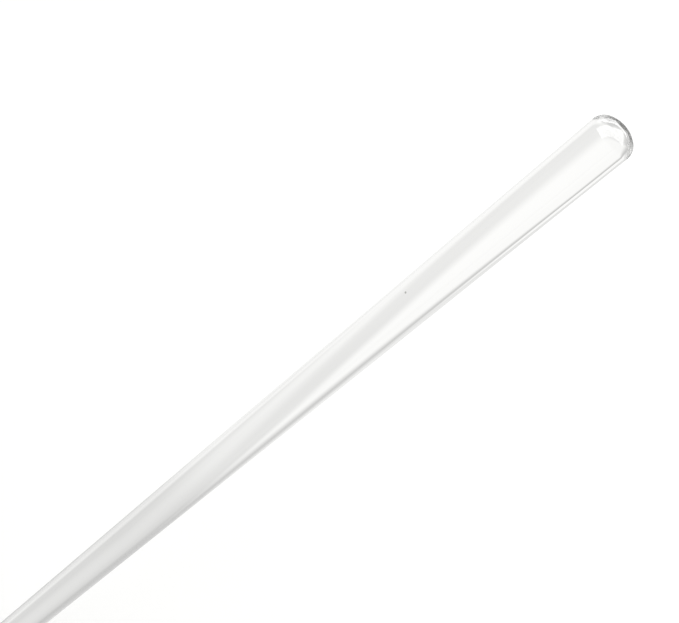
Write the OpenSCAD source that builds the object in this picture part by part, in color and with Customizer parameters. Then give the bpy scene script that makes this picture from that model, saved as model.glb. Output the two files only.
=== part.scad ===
// Glass stirring rod: one solid length of drawn glass, with each cut end melted
// round in a flame. It stands along Z, with its middle at the origin.

/* [Rod] */
// Diameter of the drawn glass
rod_d = 7; // [5:0.5:9]
// Overall length, over both rounded ends
rod_length = 200; // [120:5:350]

/* [Fire-polished ends] */
// Radius of the crown, the shallow curve over the middle of each end
crown_r = 4.8; // [3.6:0.1:12]
// Radius of the knuckle, the tighter curve that turns the crown into the side
knuckle_r = 2.1; // [0.5:0.1:3.4]

/* [Hidden] */
$fn = 128;

rod_r = rod_d / 2;
// The knuckle's centre is this far off the axis, level with the shank's end
knuckle_x = rod_r - knuckle_r;
// The crown's centre is this far below the shank's end, so that the two arcs
// share a tangent
crown_drop = sqrt(pow(crown_r - knuckle_r, 2) - pow(knuckle_x, 2));
// What each end adds past the straight shank
dome_h = crown_r - crown_drop;
shank_length = rod_length - 2 * dome_h;

// Half of the crown from the side. It ends on the line from the crown's centre
// out through the knuckle's, where the knuckle's arc takes over.
module crown() {
    reach = 2 * crown_r;
    intersection() {
        translate([0, -crown_drop]) circle(crown_r);
        polygon([
            [0, -crown_drop],
            [0, reach],
            [knuckle_x * (reach + crown_drop) / crown_drop, reach]
        ]);
    }
}

module knuckle() {
    intersection() {
        translate([knuckle_x, 0]) circle(knuckle_r);
        square([rod_r, dome_h]);
    }
}

// Half of one end's outline, with the shank's end at y = 0 and a short collar
// below it that merges into the shank
module end_outline() {
    crown();
    knuckle();
    translate([0, -crown_drop]) square([rod_r, crown_drop]);
}

module glass_rod() {
    color([0.93, 0.96, 0.95, 0.45])
    rotate_extrude() {
        translate([0, -shank_length / 2]) square([rod_r, shank_length]);
        for (end = [0, 1])
            mirror([0, end]) translate([0, shank_length / 2]) end_outline();
    }
}

glass_rod();
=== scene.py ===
import math

import bpy
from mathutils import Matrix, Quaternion, Vector


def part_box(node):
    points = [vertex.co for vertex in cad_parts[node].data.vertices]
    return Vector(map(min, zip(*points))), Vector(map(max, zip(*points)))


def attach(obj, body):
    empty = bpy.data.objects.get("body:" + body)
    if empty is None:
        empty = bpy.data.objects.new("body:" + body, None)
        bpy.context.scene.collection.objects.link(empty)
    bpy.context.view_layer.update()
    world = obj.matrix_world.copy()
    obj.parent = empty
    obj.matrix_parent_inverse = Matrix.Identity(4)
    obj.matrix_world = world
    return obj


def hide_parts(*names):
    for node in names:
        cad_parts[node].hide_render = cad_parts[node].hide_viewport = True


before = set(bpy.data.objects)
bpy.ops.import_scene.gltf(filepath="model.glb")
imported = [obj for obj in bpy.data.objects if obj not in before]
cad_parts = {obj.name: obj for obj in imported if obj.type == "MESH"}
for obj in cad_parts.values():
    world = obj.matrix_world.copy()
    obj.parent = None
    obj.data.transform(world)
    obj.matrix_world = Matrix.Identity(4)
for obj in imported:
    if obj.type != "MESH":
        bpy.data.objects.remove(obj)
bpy.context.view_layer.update()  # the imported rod, in metres, standing along Z
rodLow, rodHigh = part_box("glass_rod")
print("frame: rod loaded")


# small helpers

white = (1, 1, 1, 1)


def startFresh():
    # operators act on all that is selected, so nothing may be left over
    if bpy.context.object and bpy.context.object.mode != "OBJECT":
        bpy.ops.object.mode_set(mode="OBJECT")
    bpy.ops.object.select_all(action="DESELECT")


def newMaterial(name):
    material = bpy.data.materials.new(name)
    material.use_nodes = True
    return material, material.node_tree.nodes["Principled BSDF"]


def addNode(tree, kind, label, **settings):
    node = tree.nodes.new(kind)
    node.label = label
    for name, value in settings.items():
        setattr(node, name, value)
    return node


def linkNodes(tree, pairs):
    for source, target in pairs:
        tree.links.new(source, target)


def addMath(tree, operation, label, *values):
    # a Math node fed by sockets and plain numbers
    node = addNode(tree, "ShaderNodeMath", label, operation=operation)
    for index, value in enumerate(values):
        if isinstance(value, (int, float)):
            node.inputs[index].default_value = value
        else:
            tree.links.new(value, node.inputs[index])
    return node.outputs[0]


def addRange(tree, label, reach, levels):
    # eases from one level to the other while its value crosses the reach
    node = addNode(tree, "ShaderNodeMapRange", label, interpolation_type="SMOOTHSTEP")
    node.inputs["From Min"].default_value = reach[0]
    node.inputs["From Max"].default_value = reach[1]
    node.inputs["To Min"].default_value = levels[0]
    node.inputs["To Max"].default_value = levels[1]
    return node


def addStep(tree, label, value, reach, levels):
    node = addRange(tree, label, reach, levels)
    tree.links.new(value, node.inputs["Value"])
    return node.outputs["Result"]


# the rod: a drawn shank, and a fire-polished dome on each end

rod = {
    "sides": 256,             # round enough that refraction shows no facets
    "stretch": 0.005,         # length of each stretch of shank, in metres
    "crownRadius": 0.0048,    # the shallow arc over the middle of each end
    "knuckleRadius": 0.0021,  # the tighter arc into the side
    "knuckleRings": 20,
    "crownRings": 14,
    "ease": 0.000001,         # keeps the glass just inside the space it has
    "capFacing": 0.9,         # a cap's normal points along the rod by at least this much
    "mergeWithin": 1e-7,
}


def domeRings(radius):
    # (height above the shank's end, ring radius), from the shank to just short of the pole
    knuckle, crown = rod["knuckleRadius"], rod["crownRadius"]
    offset = radius - knuckle
    drop = math.sqrt((crown - knuckle) ** 2 - offset ** 2)
    meet = math.atan2(drop, offset)  # where one arc hands over to the other
    rings = []
    for step in range(1, rod["knuckleRings"] + 1):
        angle = meet * step / rod["knuckleRings"]
        rings.append((knuckle * math.sin(angle), offset + knuckle * math.cos(angle)))
    for step in range(1, rod["crownRings"]):
        angle = meet + (math.pi / 2 - meet) * step / rod["crownRings"]
        rings.append((crown * math.sin(angle) - drop, crown * math.cos(angle)))
    return rings, crown - drop


def pickCap(mesh, side):
    # selects the faces that look along the rod on this side, and no others
    bpy.ops.object.mode_set(mode="OBJECT")
    for vertex in mesh.vertices:
        vertex.select = False
    for edge in mesh.edges:
        edge.select = False
    for face in mesh.polygons:
        face.select = face.normal.z * side > rod["capFacing"]
    bpy.ops.object.mode_set(mode="EDIT")


def growEnd(mesh, side, shankHalf, radius, rings, domeHeight):
    # extrudes one cap outwards, first along the shank and then ring by ring over the dome
    def pushOut(length):
        move = {"value": (0, 0, side * length)}
        bpy.ops.mesh.extrude_region_move(TRANSFORM_OT_translate=move)

    stretches = max(1, round(shankHalf / rod["stretch"]) - 1)
    pickCap(mesh, side)
    for _ in range(stretches):
        pushOut((shankHalf - rod["stretch"]) / stretches)
    height, width = 0.0, radius
    for ringHeight, ringRadius in rings:
        pushOut(ringHeight - height)
        share = ringRadius / width
        level = (0, 0, side * (shankHalf + ringHeight))
        bpy.ops.transform.resize(value=(share, share, 1), center_override=level)
        height, width = ringHeight, ringRadius
    pushOut(domeHeight - height)
    bpy.ops.mesh.merge(type="CENTER")  # closes the pole


def makeRod():
    startFresh()
    radius = min(rodHigh.x - rodLow.x, rodHigh.y - rodLow.y) / 2
    half = (rodHigh.z - rodLow.z) / 2 - rod["ease"]
    rings, domeHeight = domeRings(radius)
    shankHalf = half - domeHeight
    bpy.ops.mesh.primitive_cylinder_add(
        vertices=rod["sides"], radius=radius, depth=2 * rod["stretch"],
        end_fill_type="NGON", location=(0, 0, 0),
    )
    piece = bpy.context.object
    piece.name = "drawn_glass_rod"
    for side in (1, -1):
        growEnd(piece.data, side, shankHalf, radius, rings, domeHeight)
    bpy.ops.mesh.select_all(action="SELECT")
    bpy.ops.mesh.remove_doubles(threshold=rod["mergeWithin"])
    bpy.ops.mesh.normals_make_consistent(inside=False)
    bpy.ops.object.mode_set(mode="OBJECT")
    bpy.ops.object.shade_smooth()
    return piece


# clear glass: a very faint warm tint, draw lines along the shank, a trace of handling

clearGlass = {
    "ior": 1.5,
    "tintPale": (0.994, 0.993, 0.98, 1),
    "tintDeep": (0.974, 0.973, 0.96, 1),
    "tintScale": 60,
    "smudgeScale": 240,
    "smudgeReach": (0.5, 0.8),   # the part of the pattern that smudges the gloss
    "smudgeRoughness": (0.0, 0.02),
    "drawLines": (900, 900, 6),  # finer across than along
    "drawScale": 1.0,
    "drawDepth": 0.000002,
    "speckPlace": (-0.00189, -0.00294, 0.061),  # one speck of dirt on the shank
    "speckReach": (0.00012, 0.00024),           # dark to here, and gone from here on
    "speckColor": (0.25, 0.25, 0.23, 1),
}


def makeClearGlass():
    material, shader = newMaterial("clearDrawnGlass")
    tree = material.node_tree
    shader.inputs["IOR"].default_value = clearGlass["ior"]
    shader.inputs["Transmission Weight"].default_value = 1.0
    place = addNode(tree, "ShaderNodeTexCoord", "place")

    tintNoise = addNode(tree, "ShaderNodeTexNoise", "tint drift")
    tintNoise.inputs["Scale"].default_value = clearGlass["tintScale"]
    tint = addNode(tree, "ShaderNodeMix", "tint", data_type="RGBA")
    tint.inputs["A"].default_value = clearGlass["tintPale"]
    tint.inputs["B"].default_value = clearGlass["tintDeep"]

    smudgeNoise = addNode(tree, "ShaderNodeTexNoise", "smudges")
    smudgeNoise.inputs["Scale"].default_value = clearGlass["smudgeScale"]
    smudge = addRange(tree, "smudge roughness", clearGlass["smudgeReach"], clearGlass["smudgeRoughness"])

    drawn = addNode(tree, "ShaderNodeMapping", "drawn along Z")
    drawn.inputs["Scale"].default_value = clearGlass["drawLines"]
    drawNoise = addNode(tree, "ShaderNodeTexNoise", "draw lines")
    drawNoise.inputs["Scale"].default_value = clearGlass["drawScale"]
    drawBump = addNode(tree, "ShaderNodeBump", "draw relief")
    drawBump.inputs["Distance"].default_value = clearGlass["drawDepth"]

    fromSpeck = addNode(tree, "ShaderNodeVectorMath", "from the speck", operation="DISTANCE")
    fromSpeck.inputs[1].default_value = clearGlass["speckPlace"]
    speckMask = addRange(tree, "speck", clearGlass["speckReach"], (1, 0))
    dirty = addNode(tree, "ShaderNodeMix", "with the speck", data_type="RGBA")
    dirty.inputs["B"].default_value = clearGlass["speckColor"]

    linkNodes(tree, [
        (place.outputs["Object"], tintNoise.inputs["Vector"]),
        (tintNoise.outputs["Fac"], tint.inputs["Factor"]),
        (tint.outputs["Result"], dirty.inputs["A"]),
        (place.outputs["Object"], fromSpeck.inputs[0]),
        (fromSpeck.outputs["Value"], speckMask.inputs["Value"]),
        (speckMask.outputs["Result"], dirty.inputs["Factor"]),
        (dirty.outputs["Result"], shader.inputs["Base Color"]),
        (place.outputs["Object"], smudgeNoise.inputs["Vector"]),
        (smudgeNoise.outputs["Fac"], smudge.inputs["Value"]),
        (smudge.outputs["Result"], shader.inputs["Roughness"]),
        (place.outputs["Object"], drawn.inputs["Vector"]),
        (drawn.outputs["Vector"], drawNoise.inputs["Vector"]),
        (drawNoise.outputs["Fac"], drawBump.inputs["Height"]),
        (drawBump.outputs["Normal"], shader.inputs["Normal"]),
    ])
    return material


# the camera

view = {
    "sensor": 36,        # millimetres
    "lens": 48.86,
    "elevation": 33.47,  # degrees down on the rod
    "roll": 48.88,       # leans the rod over to the right
    "distance": 0.1478,
    "aimBelowTip": 0.05212,
    "aimAside": -0.00625,
    "nearest": 0.005,    # nothing closer than this is drawn
}


def makeCamera():
    data = bpy.data.cameras.new("camera")
    data.sensor_width = view["sensor"]
    data.lens = view["lens"]
    data.clip_start = view["nearest"]
    camera = bpy.data.objects.new("camera", data)
    bpy.context.scene.collection.objects.link(camera)
    lift = math.radians(view["elevation"])
    back = Vector((0, -math.cos(lift), math.sin(lift)))
    aim = Vector((view["aimAside"], 0, rodHigh.z - view["aimBelowTip"]))
    camera.location = aim + back * view["distance"]
    camera.rotation_mode = "QUATERNION"
    roll = Quaternion((0, 0, 1), math.radians(view["roll"]))
    camera.rotation_quaternion = (-back).to_track_quat("-Z", "Y") @ roll
    bpy.context.scene.camera = camera


# the floor, and a painted shade on it: a grey disc under the rod's foot

paleFloor = {
    "size": 8.0,
    "color": (0.86, 0.86, 0.85, 1),
    "roughness": 0.9,
    "glow": (0.215, 0.42),      # for the camera alone, by the rod and far from it
    "glowReach": (0.03, 0.7),
}

# painted shade: the size and grey of the disc under the rod's foot, which only the glass sees
paintedFootShade = {
    "radius": 0.0052,
    "sides": 48,
    "color": (0.3, 0.3, 0.3, 1),
}


def makeFloor():
    startFresh()
    bpy.ops.mesh.primitive_plane_add(size=paleFloor["size"], location=(0, 0, rodLow.z))
    floor = bpy.context.object
    floor.name = "floor"
    floor.visible_transmission = False
    floor.visible_glossy = False
    material, shader = newMaterial("paleFloor")
    tree = material.node_tree
    shader.inputs["Base Color"].default_value = paleFloor["color"]
    shader.inputs["Roughness"].default_value = paleFloor["roughness"]
    shader.inputs["Specular IOR Level"].default_value = 0.0
    shader.inputs["Emission Color"].default_value = white
    rays = addNode(tree, "ShaderNodeLightPath", "rays")
    place = addNode(tree, "ShaderNodeTexCoord", "place")
    away = addNode(tree, "ShaderNodeVectorMath", "away from the rod", operation="LENGTH")
    tree.links.new(place.outputs["Object"], away.inputs[0])
    level = addStep(tree, "glow", away.outputs["Value"], paleFloor["glowReach"], paleFloor["glow"])
    glow = addMath(tree, "MULTIPLY", "for the camera alone", rays.outputs["Is Camera Ray"], level)
    tree.links.new(glow, shader.inputs["Emission Strength"])
    floor.data.materials.append(material)


def makePaintedFootShade():
    # painted shade: a grey disc under the foot stands in for the floor that the rod keeps dark, and only
    # its glass looks there
    startFresh()
    bpy.ops.mesh.primitive_circle_add(
        vertices=paintedFootShade["sides"], radius=paintedFootShade["radius"],
        fill_type="NGON", location=(0, 0, rodLow.z),
    )
    shade = bpy.context.object
    shade.name = "painted_foot_shade"
    shade.visible_camera = False
    shade.visible_diffuse = False
    shade.visible_shadow = False
    material, shader = newMaterial("paintedShadeFloor")
    shader.inputs["Base Color"].default_value = paintedFootShade["color"]
    shader.inputs["Roughness"].default_value = paleFloor["roughness"]
    shader.inputs["Specular IOR Level"].default_value = 0.0
    shade.data.materials.append(material)


# two soft lamps

studioLamps = [
    {"name": "keyLamp", "place": (-0.7, -0.9, 1.3), "size": 1.2, "power": 7},
    {"name": "fillLamp", "place": (1.1, -0.4, 0.9), "size": 1.4, "power": 3.5},
]


def makeLamps():
    for lamp in studioLamps:
        data = bpy.data.lights.new(lamp["name"], "AREA")
        data.energy = lamp["power"]
        data.size = lamp["size"]
        light = bpy.data.objects.new(lamp["name"], data)
        light.visible_glossy = False
        bpy.context.scene.collection.objects.link(light)
        light.location = lamp["place"]
        light.rotation_mode = "QUATERNION"
        light.rotation_quaternion = (-Vector(lamp["place"])).to_track_quat("-Z", "Y")


# the white studio all round. Glass alone sees its flags and softboxes, which are placed
# by direction, in degrees: azimuth from +Y towards +X, and elevation from the horizon

whiteStudio = {
    "light": 0.72,                     # on all that isn't glass
    "overhead": ((-6, 14), 0.35),      # glass sees less of the white from here up
    "underneath": ((-50, -44), 0.93),  # and a little less from here down
    "flagTop": -18,
    "flagDepth": 34,                   # how far down the flags go on changing
    "flagEnd": (-70, -66),             # below this there is plain white again
    "flagTurn": 180,                   # the same flags stand on the other side
}

# flags draw the edges and the inner bands of clear glass. An edge is its azimuth at the top,
# its lean for each degree below, its curve, its softness and how much that grows, and a
# flag's darkness changes from its top to its foot
flags = [
    {"name": "wide band", "dark": (0.16, 0.23),
     "right": (46.5, -0.12, -0.047, 8, 1.6), "left": (13, -0.13, -0.059, 17, 0)},
    {"name": "upper line", "dark": (0.3, 0.28),
     "right": (53, 0.09, -0.007, 1.5, 0.5), "left": (71, -0.05, -0.057, 12, 2)},
    {"name": "lower line", "dark": (0.45, 0.5),
     "right": (-37.6, 0.5, -0.025, 7.6, 0.9), "left": (-43.9, 0.3, -0.053, 1.4, 1.2)},
    {"name": "lower outline", "dark": (0.3, 0),
     "right": (-56.7, 1.25, -0.061, 1.5, 0), "left": (-120, 0, 0, 5, 0)},
    {"name": "upper outline", "dark": (0.2, 0.4),
     "right": (120, 0, 0, 5, 0), "left": (71, 0.77, 0.024, 5.6, 0)},
]

# long softboxes that the polished ends mirror: each stands at an azimuth, arches from one
# elevation to another, past 90 where it goes over the top, and is so wide to each side
softboxes = [
    {"name": "front arch", "azimuth": -128, "arch": (-3, 122), "width": 27, "soft": 8, "level": 5},
    {"name": "back left", "azimuth": -34, "arch": (29, 47), "width": 22, "soft": 8, "level": 5},
    {"name": "low left", "azimuth": -56, "arch": (11, 30), "width": 22, "soft": 12, "level": 2},
    {"name": "back right", "azimuth": 30, "arch": (29, 44), "width": 18, "soft": 8, "level": 3},
    {"name": "low right", "azimuth": 33, "arch": (2, 26), "width": 11, "soft": 10, "level": 1.5},
    {"name": "left edge", "azimuth": -25, "arch": (3, 25), "width": 9, "soft": 8, "level": 1.5},
]


def flagEdge(tree, azimuth, below, edge, levels):
    # goes from one level to the other across this edge, towards +azimuth
    start, lean, curve, soft, softer = edge
    leaning = addMath(tree, "MULTIPLY_ADD", "lean", below, lean, start)
    squared = addMath(tree, "MULTIPLY", "squared", below, below)
    place = addMath(tree, "MULTIPLY_ADD", "curve", squared, curve, leaning)
    away = addMath(tree, "SUBTRACT", "from the edge", azimuth, place)
    width = addMath(tree, "MULTIPLY_ADD", "softness", below, softer, soft)
    share = addMath(tree, "DIVIDE", "share of the softness", away, width)
    return addStep(tree, "edge", share, (-0.5, 0.5), levels)


def flagLight(tree, azimuth, below, flag):
    # what one flag leaves of the light
    right = flagEdge(tree, azimuth, below, flag["right"], (1, 0))
    left = flagEdge(tree, azimuth, below, flag["left"], (0, 1))
    cover = addMath(tree, "MULTIPLY", flag["name"], right, left)
    top, foot = flag["dark"]
    darker = (foot - top) / whiteStudio["flagDepth"]
    dark = addMath(tree, "MULTIPLY_ADD", "darkness", below, darker, top)
    lost = addMath(tree, "MULTIPLY", "light lost", cover, dark)
    return addMath(tree, "SUBTRACT", "light left", 1.0, lost)


def softboxLight(tree, direction, upwards, softbox):
    # the extra light of one long softbox, with soft edges
    turn = math.radians(softbox["azimuth"])
    ahead = addNode(tree, "ShaderNodeVectorMath", "towards it", operation="DOT_PRODUCT")
    ahead.inputs[1].default_value = (math.sin(turn), math.cos(turn), 0)
    aside = addNode(tree, "ShaderNodeVectorMath", "beside it", operation="DOT_PRODUCT")
    aside.inputs[1].default_value = (math.cos(turn), -math.sin(turn), 0)
    tree.links.new(direction, ahead.inputs[0])
    tree.links.new(direction, aside.inputs[0])
    arch = addMath(tree, "ARCTAN2", "along the arch", upwards, ahead.outputs["Value"])
    along = addMath(tree, "DEGREES", "along the arch", arch)
    lean = addMath(tree, "ARCSINE", "off the arch", aside.outputs["Value"])
    leanDegrees = addMath(tree, "DEGREES", "off the arch", lean)
    off = addMath(tree, "ABSOLUTE", "to either side", leanDegrees)
    half = softbox["soft"] / 2
    start, end = softbox["arch"]
    width = softbox["width"]
    begun = addStep(tree, "its foot", along, (start - half, start + half), (0, 1))
    notOver = addStep(tree, "its end", along, (end - half, end + half), (1, 0))
    within = addStep(tree, "its side", off, (width - half, width + half), (softbox["level"], 0))
    length = addMath(tree, "MULTIPLY", softbox["name"], begun, notOver)
    return addMath(tree, "MULTIPLY", softbox["name"], length, within)


def flaggedLight(tree, elevation, azimuth):
    # the white that glass sees below the horizon, between its flags
    drop = addMath(tree, "SUBTRACT", "below the flags' top", whiteStudio["flagTop"], elevation)
    atLeast = addMath(tree, "MAXIMUM", "not above it", drop, 0.0)
    below = addMath(tree, "MINIMUM", "nor past its foot", atLeast, whiteStudio["flagDepth"])
    reach, level = whiteStudio["underneath"]
    light = addStep(tree, "underneath", elevation, reach, (level, 1))
    for flag in flags:
        left = flagLight(tree, azimuth, below, flag)
        light = addMath(tree, "MULTIPLY", "together", light, left)
    return light


def mixLevels(tree, label, share, low, high):
    # one level where the share is 0, another where it is 1
    node = addNode(tree, "ShaderNodeMix", label, data_type="FLOAT")
    tree.links.new(share, node.inputs["Factor"])
    node.inputs["A"].default_value = low
    tree.links.new(high, node.inputs["B"])
    return node.outputs["Result"]


def makeWorld():
    world = bpy.data.worlds.new("whiteStudio")
    world.use_nodes = True
    bpy.context.scene.world = world
    tree = world.node_tree
    background = tree.nodes["Background"]
    background.inputs["Color"].default_value = white
    place = addNode(tree, "ShaderNodeTexCoord", "direction")
    direction = place.outputs["Generated"]
    parts = addNode(tree, "ShaderNodeSeparateXYZ", "its parts")
    tree.links.new(direction, parts.inputs[0])
    turn = addMath(tree, "ARCTAN2", "azimuth", parts.outputs["X"], parts.outputs["Y"])
    turnDegrees = addMath(tree, "DEGREES", "azimuth", turn)
    halfTurn = whiteStudio["flagTurn"] / 2
    azimuth = addMath(tree, "WRAP", "repeats round the studio", turnDegrees, halfTurn, -halfTurn)
    rise = addMath(tree, "ARCSINE", "elevation", parts.outputs["Z"])
    elevation = addMath(tree, "DEGREES", "elevation", rise)

    reach, level = whiteStudio["overhead"]
    overhead = addStep(tree, "overhead", elevation, reach, (1, level))
    flagged = flaggedLight(tree, elevation, azimuth)
    flagShare = addStep(tree, "end of the flags", elevation, whiteStudio["flagEnd"], (0, 1))
    ending = mixLevels(tree, "white below", flagShare, 1.0, flagged)
    shown = addMath(tree, "MULTIPLY", "together", overhead, ending)

    rays = addNode(tree, "ShaderNodeLightPath", "rays")
    through = rays.outputs["Is Transmission Ray"]
    glass = addMath(tree, "MAXIMUM", "seen in glass", rays.outputs["Is Glossy Ray"], through)
    mirrored = addMath(tree, "SUBTRACT", "mirrored, not let through", glass, through)
    for softbox in softboxes:
        extra = softboxLight(tree, direction, parts.outputs["Z"], softbox)
        shown = addMath(tree, "MULTIPLY_ADD", "with its light", mirrored, extra, shown)
    inGlass = mixLevels(tree, "flags in glass", glass, 1.0, shown)
    seen = addMath(tree, "MAXIMUM", "seen at all", rays.outputs["Is Camera Ray"], glass)
    strength = mixLevels(tree, "white where seen", seen, whiteStudio["light"], inGlass)
    tree.links.new(strength, background.inputs["Strength"])


bounces = 256  # light that enters a domed end runs down the rod and back


def letLightRun():
    cycles = bpy.context.scene.cycles
    cycles.max_bounces = bounces
    cycles.glossy_bounces = bounces
    cycles.transmission_bounces = bounces


bpy.context.scene.view_settings.view_transform = "Standard"
makeCamera()
makeFloor()
makePaintedFootShade()
makeLamps()
makeWorld()
letLightRun()
print("studio: camera, floor, lamps and white surround are in place")

rodPiece = makeRod()
rodPiece.data.materials.append(makeClearGlass())
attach(rodPiece, "root")
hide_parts("glass_rod")
print("rod: modelled, with", len(rodPiece.data.polygons), "faces")
